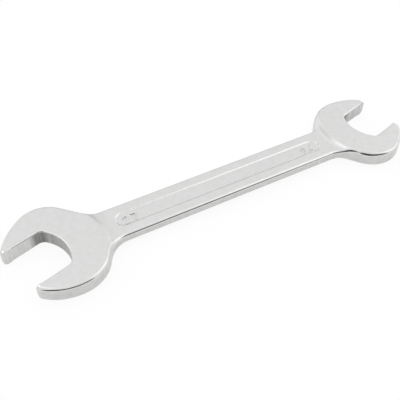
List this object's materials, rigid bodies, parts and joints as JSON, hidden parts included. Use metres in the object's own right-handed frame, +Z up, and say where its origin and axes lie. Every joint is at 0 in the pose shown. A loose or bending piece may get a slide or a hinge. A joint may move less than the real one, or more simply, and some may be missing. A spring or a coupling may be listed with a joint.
{
  "type": "open end wrench",
  "caption": "Double open end wrench, 24 and 27 mm across flats, forged and satin chrome plated, both jaws at 15 degrees.",
  "frame": {"origin": "on the rest plane, under the middle of the wrench's plan outline", "axes": "+X along the shank from the 27 mm head to the 24 mm head, +Z up, square to the flat of the wrench"},
  "size_m": [0.239, 0.0562, 0.0093],
  "materials": {
    "chrome_plated_steel": "satin"
  },
  "bodies": {
    "root": {"large_head": "chrome_plated_steel", "shank": "chrome_plated_steel", "small_head": "chrome_plated_steel"}
  },
  "joints": []
}
